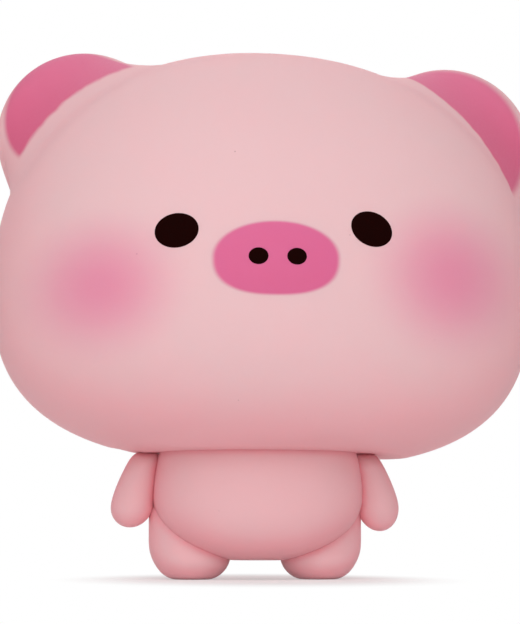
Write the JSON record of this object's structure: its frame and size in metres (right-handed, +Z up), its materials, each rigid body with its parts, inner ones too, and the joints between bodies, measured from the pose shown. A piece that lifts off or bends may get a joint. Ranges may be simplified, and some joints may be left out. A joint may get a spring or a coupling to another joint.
{
  "type": "squeeze pig toy",
  "caption": "Soft squeeze pig figure with a turning head, a face that presses in and works a reed squeaker, and arms and legs that turn on snap pegs.",
  "frame": {"origin": "on the floor under the neck, at the centre of the toy's outline seen from above", "axes": "+Z up along the neck, -Y the way the face looks, +X towards the toy's own left"},
  "size_m": [0.1266, 0.0886, 0.12],
  "materials": {
    "skin": "matte pale pink soft vinyl",
    "snout": "matte deep pink paint on soft vinyl",
    "ink": "satin brown-black paint",
    "whistle": "milky white moulded plastic"
  },
  "bodies": {
    "torso": {"torso": "skin", "tail": "skin", "squeaker_grille": "whistle", "squeaker_cup": "whistle", "squeaker_block": "whistle"},
    "head": {"head_back_shell": "skin", "head_side_wall": "skin", "left_ear": "skin", "right_ear": "skin"},
    "face": {"face_shell": "skin", "snout_pad": "snout", "left_eye": "ink", "right_eye": "ink", "left_nostril": "ink", "right_nostril": "ink"},
    "left_arm": {"left_arm": "skin"},
    "right_arm": {"right_arm": "skin"},
    "left_leg": {"left_leg": "skin"},
    "right_leg": {"right_leg": "skin"},
    "reed": {"squeaker_reed": "whistle"}
  },
  "joints": [
    {"name": "neck_turn", "type": "hinge", "parent": "torso", "child": "head", "pos_m": [0, 0, 0.03], "axis": [0, 0, 1], "continuous": true},
    {"name": "face_squeeze", "type": "slide", "parent": "head", "child": "face", "axis": [0, 1, 0], "range_m": [0, 0.009], "stiffness_N_per_m": 1000, "deforming": ["head_side_wall"]},
    {"name": "left_shoulder", "type": "hinge", "parent": "torso", "child": "left_arm", "pos_m": [0.0262, 0, 0.0239], "axis": [1, 0, 0], "range_deg": [-75, 75]},
    {"name": "right_shoulder", "type": "hinge", "parent": "torso", "child": "right_arm", "pos_m": [-0.0262, 0, 0.0239], "axis": [1, 0, 0], "range_deg": [-75, 75]},
    {"name": "left_hip", "type": "hinge", "parent": "torso", "child": "left_leg", "pos_m": [0.0149, 0.0018, 0.006], "axis": [0, 0, 1], "range_deg": [-45, 45]},
    {"name": "right_hip", "type": "hinge", "parent": "torso", "child": "right_leg", "pos_m": [-0.0149, 0.0018, 0.006], "axis": [0, 0, 1], "range_deg": [-45, 45]},
    {"name": "reed_flex", "type": "hinge", "parent": "torso", "child": "reed", "pos_m": [0, 0, 0.0158], "axis": [-1, 0, 0], "range_deg": [0, 8]}
  ],
  "couplings": [
    {"joint": "reed_flex", "follows": "face_squeeze", "rad_per_m": 15.5}
  ]
}
